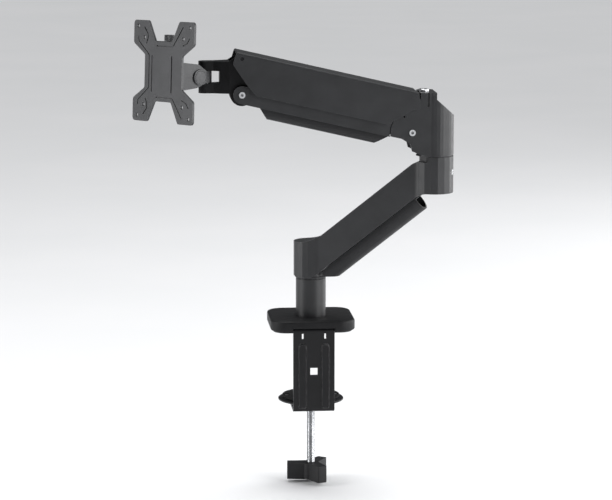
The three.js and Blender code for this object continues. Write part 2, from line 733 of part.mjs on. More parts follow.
function headBracket() {
  const lower = fromLink({ x: LINK, z: 0 });
  const upper = { h: lower.h, z: lower.z + LINK_GAP };
  const pan = lower.h + PAN_AHEAD;
  const { halfWidth, bottom, top, gapLow, gapHigh } = LUG;
  const rear = 14.5;
  const cheeks = outline([
    [upper.h - 4.2, upper.z],
    [upper.h + 2.4, upper.z + 3.6],
    [upper.h + 14.7, top],
    [pan + halfWidth, top],
    [pan + halfWidth, bottom],
    [lower.h, bottom],
    [lower.h - 12.6, lower.z + 3],
    [lower.h - 10, lower.z + 19],
  ]);
  const plan = new THREE.Shape();
  plan.moveTo(lower.h - 30, -rear);
  plan.lineTo(pan - 27, -rear);
  plan.lineTo(pan - 9, -halfWidth);
  plan.absarc(pan, 0, halfWidth, -Math.PI / 2, Math.PI / 2, false);
  plan.lineTo(pan - 9, halfWidth);
  plan.lineTo(pan - 27, rear);
  plan.lineTo(lower.h - 30, rear);
  return cut(
    common(
      join(
        slabY(cheeks, -rear, rear),
        drumY(13, -rear, rear, lower.h, lower.z, 32),
        drumY(4.4, -rear, rear, upper.h, upper.z, 20),
      ),
      slabZ(plan, 250, 340, 6),
    ),
    block(lower.h - 40, pan - 27, -11.5, 11.5, 240, 340),
    block(pan - 16, pan + 20, -20, 20, gapLow, gapHigh),
    drumZ(4.3, 270, 330, pan, 0, 20),
    drumY(PIN_R + GAP, -30, 30, lower.h, lower.z),
    drumY(SMALL_PIN_R + 0.5, -30, 30, upper.h, upper.z),
  );
}

function tiltBlock() {
  const low = LUG.gapLow + 0.6 - PAN_Z;
  const high = LUG.gapHigh - GAP - PAN_Z;
  return cut(
    join(
      drumZ(LUG.halfWidth, low, high),
      block(0, 14, -LUG.halfWidth, LUG.halfWidth, low, high),
      drumY(10.5, -12.5, 12.5, TILT_AHEAD, 0, 32),
    ),
    drumZ(4.3, -20, 20, 0, 0, 20),
    drumY(4.3, -20, 20, TILT_AHEAD, 0, 20),
  );
}

// Fork that holds the plate; its origin is the tilt axle and x points at the plate.
function carrier() {
  const { outer, inner, back, front } = CARRIER;
  const side = outline([
    [front, 17.5],
    [2.4, 15, 4],
    [-8.9, 7.8, 3],
    [-9.2, -5.8, 3],
    [3.7, -11.6, 6],
    [front, -15.7],
  ]);
  return cut(
    slabY(side, -outer, outer, 8),
    block(-30, back, -inner, inner, -40, 40),
    drumY(4.3, -30, 30, 0, 0, 20),
    drumX(5.3, back - 2, front + 2, 0, VESA_PLATE.centre, 20),
  );
}

const tiltCap = (side) => {
  const inner = side * (CARRIER.outer + GAP);
  const outer = side * (CARRIER.outer + 2.3);
  return drumY(9, Math.min(inner, outer), Math.max(inner, outer), 0, 0, 32);
};

const SLIDE = { back: 33.6, front: 35.7, halfWidth: 20, low: -30, high: 34, flange: 23.5 };
const THUMBSCREW_AT = 30.9; // its axis, measured like the slide plate's faces

// Plate that turns on the carrier; the VESA plate hangs on it and the thumbscrew locks it.
function slidePlate() {
  const { back, front, halfWidth, low, high, flange } = SLIDE;
  const corners = [[-halfWidth, low], [halfWidth, low], [halfWidth, high], [-halfWidth, high]];
  const face = outline(corners.map(([x, y]) => [x, y, 4]));
  return cut(
    join(slabX(face, back, front), block(flange, front, -9, 9, high - 2.2, high)),
    drumX(5.3, back - 2, front + 2, 0, 0, 20),
    drumX(7.9, front - 1, front + 2, 0, 0, 20),
    drumZ(2.4, 20, 50, THUMBSCREW_AT, 0, SMALL),
  );
}

function plateStud() {
  const { front } = SLIDE;
  const head = [[5, front - 0.7], [7.6, front - 0.7], [7.6, front - 0.1], [0, front - 0.1]];
  return turned([[0, 22], [5, 22], ...head], 20).rotateY(90 * DEG);
}

const friction = () => ring(5.3, 14, 32.3, 33.3, 28).rotateY(90 * DEG);
const plateNut = () => cut(drumX(8, 23.6, 28.6, 0, 0, 6), drumX(5.3, 20, 30, 0, 0, 20));

function thumbscrew() {
  const seat = SLIDE.high + 0.4;
  const knurls = 18;
  const shape = new THREE.Shape();
  for (let i = 0; i < knurls * 2; i += 1) {
    const angle = (i * Math.PI) / knurls;
    const r = i % 2 ? 5.1 : 5.7;
    if (i === 0) shape.moveTo(r, 0);
    else shape.lineTo(r * Math.cos(angle), r * Math.sin(angle));
  }
  return join(slabZ(shape, seat, seat + 7), drumZ(2, 31, seat + 1, 0, 0, SMALL));
}

// One quarter of the stamped X outline, from the middle of its top edge round to its side.
const PLATE_QUARTER = [[16, 33.3, 3], [30, 56.5, 4], [58.5, 56.5, 4.5], [58.5, 31, 4], [36, 18.5, 3]];

function vesaPlate() {
  const right = [...PLATE_QUARTER, ...PLATE_QUARTER.map(([x, y, r]) => [x, -y, r]).reverse()];
  const left = right.map(([x, y, r]) => [-x, y, r]).reverse();
  const holes = VESA.flatMap((spacing) =>
    [[-1, -1], [1, -1], [1, 1], [-1, 1]].map(([a, b]) =>
      drumX(2.3, VESA_PLATE.back - 1, VESA_PLATE.front + 1, (a * spacing) / 2, (b * spacing) / 2, SMALL),
    ),
  );
  const { back, front } = VESA_PLATE;
  const groove = (y) => block(front - 0.6, front + 1, y - 0.6, y + 0.6, -23, 20);
  return cut(slabX(outline([...right, ...left]), back, front), ...holes, groove(-19), groove(18));
}

function head() {
  const pan = fromLink({ x: LINK, z: 0 }).h + PAN_AHEAD;
  const rotating = group(0, 0, VESA_PLATE.centre, { x: HEAD_ROLL }, [
    node("plate_stud", plateStud(), STEEL),
    node("plate_nut", plateNut(), STEEL),
    node("friction_washer", friction(), NYLON),
    node("slide_plate", slidePlate(), COATED),
    node("vesa_plate", vesaPlate(), COATED_LIGHT),
    group(THUMBSCREW_AT, 0, 0, {}, [node("release_thumbscrew", thumbscrew(), COATED_LIGHT)]),
  ]);
  const tilting = group(TILT_AHEAD, 0, 0, { y: -HEAD_LEAN }, [
    node("plate_carrier", carrier(), COATED_LIGHT),
    node("tilt_axle", drumY(4, -16.4, 16.4, 0, 0, 20), STEEL),
    node("tilt_cap_left", tiltCap(1), COATED_LIGHT),
    node("tilt_cap_right", tiltCap(-1), COATED_LIGHT),
    rotating,
  ]);
  return [
    node("head_bracket", headBracket(), COATED_LIGHT),
    group(pan, 0, 0, {}, [node("pan_pin", drumZ(4, LUG.bottom + GAP, LUG.top - GAP, 0, 0, 20), STEEL)]),
    group(pan, 0, PAN_Z, { z: HEAD_PAN }, [node("tilt_block", tiltBlock(), COATED_LIGHT), tilting]),
  ];
}

// ---------------------------------------------------------------- the whole arm

const arm = new THREE.Group();
arm.add(...deskClamp(), lowerArm());
const elbowX = LOWER_LENGTH * Math.cos(LOWER_ANGLE);
const elbowY = LOWER_LENGTH * Math.sin(LOWER_ANGLE);
arm.add(group(elbowX, elbowY, 0, { z: Math.PI }, [...elbow(), links(), gasStrut(), ...head()]));

export default arm;
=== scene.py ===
"""Looks of the desk-clamped monitor arm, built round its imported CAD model.

Everything is in the CAD frame, in metres, +Z up. Shapes are written in millimetres and scaled by MM.
"""

import json
import math

import bmesh
import bpy
from mathutils import Matrix, Vector


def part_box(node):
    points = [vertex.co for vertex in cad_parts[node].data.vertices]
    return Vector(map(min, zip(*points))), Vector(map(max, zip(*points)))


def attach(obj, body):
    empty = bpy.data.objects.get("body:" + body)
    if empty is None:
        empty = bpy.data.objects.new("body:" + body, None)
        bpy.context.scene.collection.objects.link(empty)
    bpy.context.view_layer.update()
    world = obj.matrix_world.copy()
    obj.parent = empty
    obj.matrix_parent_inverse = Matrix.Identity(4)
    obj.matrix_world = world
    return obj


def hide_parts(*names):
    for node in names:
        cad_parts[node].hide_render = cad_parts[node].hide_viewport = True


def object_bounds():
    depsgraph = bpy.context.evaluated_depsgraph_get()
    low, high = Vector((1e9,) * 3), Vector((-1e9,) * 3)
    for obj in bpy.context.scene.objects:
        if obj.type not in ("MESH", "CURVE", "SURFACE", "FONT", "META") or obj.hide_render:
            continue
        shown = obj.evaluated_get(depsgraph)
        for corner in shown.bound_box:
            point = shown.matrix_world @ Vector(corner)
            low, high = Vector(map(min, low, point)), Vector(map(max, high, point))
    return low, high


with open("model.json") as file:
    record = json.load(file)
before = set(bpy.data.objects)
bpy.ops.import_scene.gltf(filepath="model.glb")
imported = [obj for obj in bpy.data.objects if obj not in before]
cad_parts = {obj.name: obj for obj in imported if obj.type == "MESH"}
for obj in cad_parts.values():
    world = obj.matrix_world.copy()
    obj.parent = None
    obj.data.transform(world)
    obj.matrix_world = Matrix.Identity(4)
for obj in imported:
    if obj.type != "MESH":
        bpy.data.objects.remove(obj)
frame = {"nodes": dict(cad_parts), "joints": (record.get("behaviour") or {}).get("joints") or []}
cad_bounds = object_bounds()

MM = 0.001
NODES = frame["nodes"]
JOINTS = {joint["name"]: joint for joint in frame["joints"]}


# ---------------------------------------------------------------- places


def point(joint):
    return Vector(JOINTS[joint]["pos_m"])


def direction(joint):
    return Vector(JOINTS[joint]["axis"]).normalized()


def place(origin, across, up):
    """A frame in millimetres: x along `across`, y along `up`, z square to both."""
    x = Vector(across).normalized()
    z = x.cross(Vector(up)).normalized()
    y = z.cross(x)
    turn = Matrix((x, y, z)).transposed().to_4x4()
    return Matrix.Translation(origin) @ turn @ Matrix.Scale(MM, 4)


WORLD = Matrix.Scale(MM, 4)
PLATE_NORMAL = direction("plate_rotate")
PLATE_UP = direction("thumbscrew_turn")
PLATE = place(point("plate_rotate"), PLATE_UP.cross(PLATE_NORMAL), PLATE_UP)
TILT_AXLE = point("head_tilt")
CAP_SIDE = direction("head_tilt")
THUMBSCREW = place(point("thumbscrew_turn"), PLATE_NORMAL, PLATE_UP.cross(PLATE_NORMAL))


# ---------------------------------------------------------------- meshes


def piece_of(name, vertices, faces, where=WORLD):
    """An object made of the given faces, all turned outward."""
    mesh = bpy.data.meshes.new(name)
    mesh.from_pydata([where @ Vector(v) for v in vertices], [], faces)
    shell = bmesh.new()
    shell.from_mesh(mesh)
    bmesh.ops.recalc_face_normals(shell, faces=shell.faces)
    shell.to_mesh(mesh)
    shell.free()
    made = bpy.data.objects.new(name, mesh)
    bpy.context.scene.collection.objects.link(made)
    return made


def rounded(corners, steps=8, closed=True):
    """Points of an outline whose corners (x, y, radius) are rounded with arcs; a radius may be left out."""
    points = []
    for i, (x, y, *radius) in enumerate(corners):
        here = Vector((x, y))
        inner = closed or 0 < i < len(corners) - 1
        if not inner or not radius or radius[0] == 0:
            points.append(here)
            continue
        before = (Vector(corners[i - 1][:2]) - here).normalized()
        after = (Vector(corners[(i + 1) % len(corners)][:2]) - here).normalized()
        half = before.angle(after) / 2
        centre = here + (before + after).normalized() * radius[0] / math.sin(half)
        start = here + before * radius[0] / math.tan(half) - centre
        sweep = (math.pi - 2 * half) * (1 if before.cross(after) < 0 else -1)
        for k in range(steps + 1):
            points.append(centre + Matrix.Rotation(sweep * k / steps, 2) @ start)
    return points


def rounded_rectangle(x, y, radius, steps):
    corners = [(x[0], y[0]), (x[1], y[0]), (x[1], y[1]), (x[0], y[1])]
    return rounded([(*corner, radius) for corner in corners], steps)


def closed_faces(count):
    """The side faces and both ends of a body with two outlines of count points."""
    sides = [(i, (i + 1) % count, (i + 1) % count + count, i + count) for i in range(count)]
    return sides + [tuple(range(count))[::-1], tuple(range(count, 2 * count))]


def prism(name, outline, low, high, where=WORLD):
    """A flat outline in the frame's xy plane, pulled from low to high along z."""
    vertices = [(p[0], p[1], level) for level in (low, high) for p in outline]
    return piece_of(name, vertices, closed_faces(len(outline)), where)


def on_ring(radius, height, k, sides):
    """Point k of a ring with so many sides round the z axis."""
    angle = 2 * math.pi * k / sides
    return (radius * math.cos(angle), radius * math.sin(angle), height)


def lathe(name, profile, where=WORLD, sides=64):
    """A profile of (radius, height) turned about the frame's z axis.

    A profile that doesn't start on the axis is closed, which makes a ring or a tube.
    """
    vertices = []
    rings = []
    for radius, height in profile:
        if radius == 0:
            rings.append([len(vertices)] * sides)
            vertices.append((0, 0, height))
            continue
        rings.append(range(len(vertices), len(vertices) + sides))
        vertices.extend(on_ring(radius, height, k, sides) for k in range(sides))
    faces = []
    pairs = list(zip(rings, rings[1:]))
    if profile[0][0] != 0:
        pairs.append((rings[-1], rings[0]))
    for lower, upper in pairs:
        for k in range(sides):
            after = (k + 1) % sides
            corners = dict.fromkeys([lower[k], lower[after], upper[after], upper[k]])
            if len(corners) > 2:
                faces.append(tuple(corners))
    return piece_of(name, vertices, faces, where)


def drum(name, radius, low, high, where=WORLD, sides=32, at=(0, 0)):
    """A cylinder along z, with its axis through the point at."""
    moved = where @ Matrix.Translation((at[0], at[1], 0))
    return lathe(name, [(0, low), (radius, low), (radius, high), (0, high)], moved, sides)


def block(name, x, y, z, where=WORLD):
    outline = [(x[0], y[0]), (x[1], y[0]), (x[1], y[1]), (x[0], y[1])]
    return prism(name, outline, z[0], z[1], where)


def ribbon(points, half):
    """The closed outline of a strip that follows an open line."""
    left, right = [], []
    for i, here in enumerate(points):
        along = (points[min(i + 1, len(points) - 1)] - points[max(i - 1, 0)]).normalized()
        side = Vector((-along.y, along.x)) * half
        left.append(here + side)
        right.append(here - side)
    return right + left[::-1]


def settle(piece):
    """Applies the piece's modifiers."""
    evaluated = piece.evaluated_get(bpy.context.evaluated_depsgraph_get())
    mesh = bpy.data.meshes.new_from_object(evaluated)
    piece.modifiers.clear()
    piece.data = mesh
    return piece


def combine(piece, operation, others):
    """Applies one boolean for each of the others, which are used up."""
    for other in others:
        step = piece.modifiers.new(operation, "BOOLEAN")
        step.operation = operation
        step.solver = "EXACT"
        step.object = other
        bpy.context.view_layer.update()
        settle(piece)
        bpy.data.objects.remove(other)
    return piece


def carve(piece, *cutters):
    return combine(piece, "DIFFERENCE", cutters)


def fuse(piece, *others):
    return combine(piece, "UNION", others)


def soften(piece, width, angle=38, segments=3, facets=False):
    """Rounds edges sharper than angle by width millimetres and shades the rest smooth.

    facets is for the CAD's own meshes, whose round walls are made of flat strips.
    """
    edge = piece.modifiers.new("rounded edges", "BEVEL")
    edge.width = width * MM
    edge.segments = segments
    edge.limit_method = "ANGLE"
    edge.angle_limit = math.radians(angle)
    edge.use_clamp_overlap = True
    edge.miter_outer = "MITER_ARC"
    edge.harden_normals = not facets
    if facets:
        shade = piece.modifiers.new("shading", "WEIGHTED_NORMAL")
        shade.mode = "FACE_AREA_WITH_ANGLE"
        shade.weight = 90
    piece.data.shade_smooth()
    return piece


def finish_piece(piece, look, body, slot, *replaced):
    """Gives a visible piece its material and its body, and hides the CAD nodes that it stands for; slot is
    not used.
    """
    piece.data.materials.clear()
    piece.data.materials.append(look)
    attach(piece, body)
    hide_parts(*replaced)


# ---------------------------------------------------------------- materials


class Graph:
    """Short calls for building one material's nodes."""

    def __init__(self, name):
        self.material = bpy.data.materials.new(name)
        self.material.use_nodes = True
        self.tree = self.material.node_tree
        self.shader = self.tree.nodes["Principled BSDF"]
        self.coords = self.node("ShaderNodeTexCoord").outputs["Object"]

    def node(self, kind, **settings):
        made = self.tree.nodes.new(kind)
        for key, value in settings.items():
            setattr(made, key, value)
        return made

    def link(self, source, socket):
        self.tree.links.new(source, socket)

    def noise(self, size, detail=3.0, stretch=(1, 1, 1)):
        """Noise whose features are about size millimetres across."""
        spread = self.node("ShaderNodeMapping")
        spread.inputs["Scale"].default_value = stretch
        self.link(self.coords, spread.inputs["Vector"])
        made = self.node("ShaderNodeTexNoise")
        made.inputs["Scale"].default_value = 1 / (size * MM)
        made.inputs["Detail"].default_value = detail
        self.link(spread.outputs["Vector"], made.inputs["Vector"])
        return made.outputs["Fac"]

    def ranged(self, source, low, high, start=0.0, end=1.0):
        made = self.node("ShaderNodeMapRange")
        made.inputs["From Min"].default_value = low
        made.inputs["From Max"].default_value = high
        made.inputs["To Min"].default_value = start
        made.inputs["To Max"].default_value = end
        self.link(source, made.inputs["Value"])
        return made.outputs["Result"]

    def times(self, a, b):
        made = self.node("ShaderNodeMath", operation="MULTIPLY")
        self.link(a, made.inputs[0])
        self.link(b, made.inputs[1])
        return made.outputs["Value"]

    def blend(self, factor, a, b):
        """Colour a where factor is 0 and b where it is 1; each is a colour or a socket."""
        made = self.node("ShaderNodeMix", data_type="RGBA")
        self.link(factor, made.inputs["Factor"])
        for value, socket in ((a, made.inputs[6]), (b, made.inputs[7])):
            if isinstance(value, bpy.types.NodeSocket):
                self.link(value, socket)
            else:
                socket.default_value = (*value, 1)
        return made.outputs[2]

    def mix_value(self, factor, a, b):
        made = self.node("ShaderNodeMix", data_type="FLOAT")
        self.link(factor, made.inputs["Factor"])
        self.link(a, made.inputs["A"])
        made.inputs["B"].default_value = b
        return made.outputs["Result"]

    def edges(self, radius):
        """1 on edges sharper than radius millimetres, 0 on flat and gently curved faces."""
        soft = self.node("ShaderNodeBevel", samples=4)
        soft.inputs["Radius"].default_value = radius * MM
        true = self.node("ShaderNodeNewGeometry")
        compare = self.node("ShaderNodeVectorMath", operation="DOT_PRODUCT")
        self.link(soft.outputs["Normal"], compare.inputs[0])
        self.link(true.outputs["Normal"], compare.inputs[1])
        return self.ranged(compare.outputs["Value"], 0.985, 0.9)

    def painted_hollow_shade(self, reach):
        """Mask for painted shade: 1 on open faces, falling to 0 in slots and corners narrower than reach
        millimetres, where the colour is darkened as shade.
        """
        made = self.node("ShaderNodeAmbientOcclusion", samples=6, only_local=True)
        made.inputs["Distance"].default_value = reach * MM
        return self.ranged(made.outputs["AO"], 0.3, 0.85)

    def bump(self, height, strength, distance, under=None):
        made = self.node("ShaderNodeBump")
        made.inputs["Strength"].default_value = strength
        made.inputs["Distance"].default_value = distance * MM
        self.link(height, made.inputs["Height"])
        if under is not None:
            self.link(under, made.inputs["Normal"])
        return made.outputs["Normal"]


# Feature sizes of every finish, the reach of the shade painted into hollows and the depth of its bumps, in
# millimetres.
MOTTLE_SIZE = 28
WAVE_SIZE = 14
GLOSS_SIZE = 9
EDGE_PATCH_SIZE = 3.5
EDGE_SIZE = 0.7
PAINTED_SHADE_REACH = 3
BUMP_DEPTH = 0.12


def surface(name, colour, roughness, *, grain, bump, mottle=0.2, edge_wear_and_highlight=None, edge_wear_and_highlight_amount=0.5, specular=0.5,
            metallic=0.0, brush=(1, 1, 1)):
    """A finish with colour variation, uneven gloss, a fine bump, shade painted into slots and corners,
    and lightened edges that stand for rubbed wear and, on the bracket, for a painted highlight.

    grain is the bump's feature size in millimetres and brush stretches it. The edge colour argument is the
    colour of the lightened edges, and the amount argument after it says how much of them is lightened.
    """
    g = Graph(name)
    broad = g.noise(MOTTLE_SIZE, 4)
    fine = g.noise(grain, 2, brush)
    dark = [c * (1 - mottle) for c in colour]
    light = [c * (1 + mottle) for c in colour]
    paint = g.blend(g.ranged(broad, 0.3, 0.7), dark, light)
    paint = g.blend(g.ranged(fine, 0.35, 0.75, 0.0, 0.35), paint, [min(1, c * 1.6) for c in colour])
    gloss = g.ranged(g.noise(GLOSS_SIZE, 5), 0.25, 0.75, roughness * 0.88, roughness * 1.12)
    # Painted shade: in slots, sockets and corners the colour falls to a quarter of its value.
    paint = g.blend(g.painted_hollow_shade(PAINTED_SHADE_REACH), [c * 0.25 for c in colour], paint)
    # Lighter patches on sharp edges: rubbed wear, and where the edge colour is strong, as on the bracket, a
    # painted highlight.
    if edge_wear_and_highlight:
        patchy = g.ranged(g.noise(EDGE_PATCH_SIZE, 5), 0.45, 0.62)
        rubbed_and_lit = g.times(g.edges(EDGE_SIZE), g.ranged(patchy, 0, 1, edge_wear_and_highlight_amount * 0.35, edge_wear_and_highlight_amount))
        paint = g.blend(rubbed_and_lit, paint, edge_wear_and_highlight)
        gloss = g.mix_value(rubbed_and_lit, gloss, roughness * 0.7)
    g.link(paint, g.shader.inputs["Base Color"])
    g.link(gloss, g.shader.inputs["Roughness"])
    waves = g.bump(g.noise(WAVE_SIZE, 2), 0.12, BUMP_DEPTH)
    g.link(g.bump(fine, bump, BUMP_DEPTH, waves), g.shader.inputs["Normal"])
    g.shader.inputs["Metallic"].default_value = metallic
    g.shader.inputs["Specular IOR Level"].default_value = specular
    return g.material


COAT = surface("powder_coat", (0.021, 0.0215, 0.023), 0.42, grain=0.45, bump=0.22, specular=0.36,
               edge_wear_and_highlight=(0.15, 0.15, 0.155), edge_wear_and_highlight_amount=0.5)
POST_COAT = surface("post_coat", (0.016, 0.0163, 0.0175), 0.33, grain=0.5, bump=0.12, specular=0.38,
                    edge_wear_and_highlight=(0.15, 0.15, 0.155), edge_wear_and_highlight_amount=0.5)
HEAD_COAT = surface("head_coat", (0.036, 0.0365, 0.039), 0.4, grain=0.4, bump=0.16, specular=0.4,
                    edge_wear_and_highlight=(0.18, 0.18, 0.185), edge_wear_and_highlight_amount=0.5)
# The bracket's strongly lightened edges are a painted highlight along the flanks of its ribs, laid on as
# edge wear.
BRACKET_COAT = surface("bracket_coat", (0.008, 0.008, 0.0088), 0.36, grain=0.5, bump=0.2, specular=0.24,
                       edge_wear_and_highlight=(0.2, 0.2, 0.205), edge_wear_and_highlight_amount=0.9)
PLASTIC = surface("moulded_plastic", (0.008, 0.0081, 0.0088), 0.5, grain=0.7, bump=0.3, specular=0.2,
                  edge_wear_and_highlight=(0.05, 0.05, 0.053), edge_wear_and_highlight_amount=0.5)
BELLY_PLASTIC = surface("cable_cover_plastic", (0.014, 0.0141, 0.0153), 0.5, grain=0.7, bump=0.3,
                        specular=0.3, edge_wear_and_highlight=(0.05, 0.05, 0.053), edge_wear_and_highlight_amount=0.35)
KNOB_PLASTIC = surface("knob_plastic", (0.013, 0.013, 0.014), 0.5, grain=0.9, bump=0.35, specular=0.28,
                       edge_wear_and_highlight=(0.07, 0.07, 0.073))
RUBBER = surface("rubber", (0.010, 0.010, 0.0105), 0.85, grain=0.8, bump=0.5, mottle=0.35, specular=0.2)
NYLON = surface("bearing_nylon", (0.030, 0.030, 0.032), 0.5, grain=0.6, bump=0.2, specular=0.35)
STEEL = surface("turned_steel", (0.62, 0.63, 0.65), 0.24, grain=0.35, bump=0.12, mottle=0.1, metallic=1.0,
                edge_wear_and_highlight=(0.8, 0.8, 0.81), edge_wear_and_highlight_amount=0.6, brush=(1, 1, 0.08))
ZINC = surface("zinc_screw", (0.72, 0.73, 0.75), 0.3, grain=0.5, bump=0.15, mottle=0.12, metallic=1.0,
               edge_wear_and_highlight=(0.86, 0.86, 0.87), edge_wear_and_highlight_amount=0.6)


# ---------------------------------------------------------------- clamp and base


def base_shell():
    """Moulded cover with a crowned edge, a fine groove near the front and a notch for the bracket."""
    low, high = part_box("base_cover")
    x0, y0, x1, y1 = (v / MM for v in (low.x, low.y, high.x, high.y))
    bottom, top = low.z / MM, high.z / MM
    corner, wall, roof, crown = 19, 2.7, 2.8, 2.4
    groove_half, groove_front, groove_back, groove_depth = 31, -37, -35.6, 0.7
    notch_top = 5.6
    shell = prism("base_shell", rounded_rectangle((x0, x1), (y0, y1), corner, 14), bottom, top)
    edge = shell.modifiers.new("crown", "BEVEL")
    edge.width = crown * MM
    edge.segments = 5
    edge.limit_method = "ANGLE"
    edge.angle_limit = math.radians(60)
    settle(shell)
    inner = rounded_rectangle((x0 + wall, x1 - wall), (y0 + wall, y1 - wall), corner - wall, 14)
    groove = rounded_rectangle((-groove_half, groove_half), (groove_front, groove_back), 0.6, 4)
    post_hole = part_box("post")[1].x / MM + 0.35
    notch_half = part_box("clamp_bracket")[1].x / MM + 0.6
    carve(
        shell,
        prism("inside", inner, bottom - 5, top - roof),
        drum("post_hole", post_hole, 0, top + 5, sides=96),
        block("notch", (-notch_half, notch_half), (y0 - 1, y0 + wall + 1), (0, notch_top)),
        prism("groove", groove, top - groove_depth, top + 1),
    )
    soften(shell, 0.25, 40, 2)
    finish_piece(shell, PLASTIC, "base", "cover_plastic", "base_cover")


def bracket():
    """Folded C-plate with two pressed ribs, slots above them and a square hole."""
    low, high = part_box("clamp_bracket")
    half = high.x / MM
    bottom, top = low.z / MM, high.z / MM
    sheet, leg_end, flange_end = 3, 22, high.y / MM
    rib_height, rib_at, rib_bottom, rib_top = 1.6, 13.3, bottom + 4, -12
    slot_at, slot_half, slot_bottom, slot_top = 13, 1, -6.8, -0.4
    square_half, square_middle = 4.25, -45
    nut_hole, bolt_hole = 8.4, 7.8
    face = low.y / MM + rib_height
    inner = face + sheet
    profile = rounded([
        (face, top, 3),
        (face, bottom, 5),
        (leg_end, bottom),
        (leg_end, bottom + sheet),
        (inner, bottom + sheet, 2),
        (inner, top - sheet, 1),
        (flange_end, top - sheet),
        (flange_end, top),
    ], 6)
    along_x = place((0, 0, 0), (0, 1, 0), (0, 0, 1))
    plate = prism("folded_bracket", profile, -half, half, along_x)

    def rib(x):
        """A rib with sloping sides: its foot is on the sheet and its crest is smaller all round."""
        foot, crest = 5.2, 4.0
        outline = rounded([(x - foot, rib_bottom, 2), (x + foot, rib_bottom, 2), (x + foot, rib_top, 4),
                           (x - foot, rib_top, 4)], 5)
        middle = Vector((x, (rib_bottom + rib_top) / 2))
        length = abs(rib_top - middle.y)
        narrower, shorter = crest / foot, (length - (foot - crest)) / length
        crest_level = face - rib_height + 0.05
        vertices = [(p.x, face + 0.5, p.y) for p in outline]
        for p in outline:
            offset = p - middle
            vertices.append((x + offset.x * narrower, crest_level, middle.y + offset.y * shorter))
        return piece_of("rib", vertices, closed_faces(len(outline)))

    fuse(plate, rib(-rib_at), rib(rib_at))
    through = (face - 3, inner + 1)
    square = (square_middle - square_half, square_middle + square_half)
    carve(
        plate,
        *(block("slot", (x - slot_half, x + slot_half), through, (slot_bottom, slot_top))
          for x in (-slot_at, slot_at)),
        block("square", (-square_half, square_half), through, square),
        drum("nut_hole", nut_hole, bottom - 1, bottom + sheet + 1, sides=48),
        drum("bolt_hole", bolt_hole, top - sheet - 1, top + 1, sides=48),
    )
    soften(plate, 0.6, 30, 3)
    finish_piece(plate, BRACKET_COAT, "base", "coat", "clamp_bracket")


def post_tube():
    """Steel tube with a broken lower edge and a fine groove under its top edge."""
    low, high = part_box("post")
    radius, bottom, top = high.x / MM, low.z / MM, high.z / MM
    edge, bore = 0.5, 10.8
    tube = lathe("post_tube", [
        (bore, bottom),
        (radius - edge, bottom),
        (radius, bottom + edge),
        (radius, top - 1.6),
        (radius - edge, top - 1.2),
        (radius - edge, top - 0.9),
        (radius - 0.1, top - 0.5),
        (radius - edge, top),
        (bore, top),
    ], sides=128)
    soften(tube, 0.2, 40, 2)
    finish_piece(tube, POST_COAT, "base", "coat", "post")


def clamp_thread():
    """M10 screw with a rolled thread, a plain collar at the top and a chamfered end."""
    low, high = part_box("clamp_rod")
    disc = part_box("pressure_disc")[0].z / MM
    radius, pitch, depth = high.x / MM, 1.5, 0.72
    flank_slope, crest_width, chamfer = 3.2, 0.35, 0.5
    neck, tip = 4, 3.1
    bottom, top = low.z / MM, high.z / MM
    thread_top = disc - neck
    sides, rows_per_pitch = 40, 8
    rows = int((thread_top - bottom) / pitch * rows_per_pitch)
    vertices, faces = [], []
    for row in range(rows + 1):
        z = bottom + (thread_top - bottom) * row / rows
        fade = min(1, row / rows_per_pitch, (rows - row) / rows_per_pitch)
        for k in range(sides):
            phase = (z / pitch - k / sides) % 1
            hollow = min(1, max(0, abs(phase - 0.5) * flank_slope - crest_width))
            reach = radius - depth * hollow * fade - (chamfer if row == 0 else 0)
            vertices.append(on_ring(reach, z, k, sides))
    for reach, z in ((radius, thread_top + 0.4), (radius, disc - 0.8), (tip, disc - 0.3), (tip, top)):
        rows += 1
        vertices.extend(on_ring(reach, z, k, sides) for k in range(sides))
    for row in range(rows):
        for k in range(sides):
            after = (k + 1) % sides
            a, b = row * sides, (row + 1) * sides
            faces.append((a + k, a + after, b + after, b + k))
    faces.append(tuple(range(sides))[::-1])
    faces.append(tuple(range(rows * sides, rows * sides + sides)))
    rod = piece_of("clamp_thread", vertices, faces)
    rod.data.shade_smooth()
    rod.data.set_sharp_from_angle(angle=math.radians(50))
    finish_piece(rod, STEEL, "clamp_screw", "steel", "clamp_rod")


def knob():
    """Three-lobed knob with rounded edges and a raised hub."""
    low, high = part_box("clamp_knob")
    bottom, top = low.z / MM, high.z / MM
    reach, hub, half = 27.9, 10.5, 6.4
    lobe_angles = (175, -65, 55)
    body = lathe("knob", [(0, bottom + 1.2), (hub - 1.5, bottom), (hub, bottom + 1), (hub, top - 1.4),
                          (hub - 1, top - 0.4), (7.2, top), (0, top)], sides=72)
    lobe = rounded([(0, -half - 1.2), (reach, -half + 0.6, 1.6), (reach, half - 0.6, 1.6),
                    (0, half + 1.2)], 6)
    for angle in lobe_angles:
        turned = WORLD @ Matrix.Rotation(math.radians(angle), 4, "Z")
        fuse(body, prism("lobe", lobe, bottom + 0.02, top - 0.4, turned))
    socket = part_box("clamp_rod")[1].x / MM + 0.15
    carve(body, drum("socket", socket, (bottom + top) / 2, top + 2, sides=48))
    soften(body, 0.9, 35, 4)
    finish_piece(body, KNOB_PLASTIC, "clamp_screw", "cover_plastic", "clamp_knob")


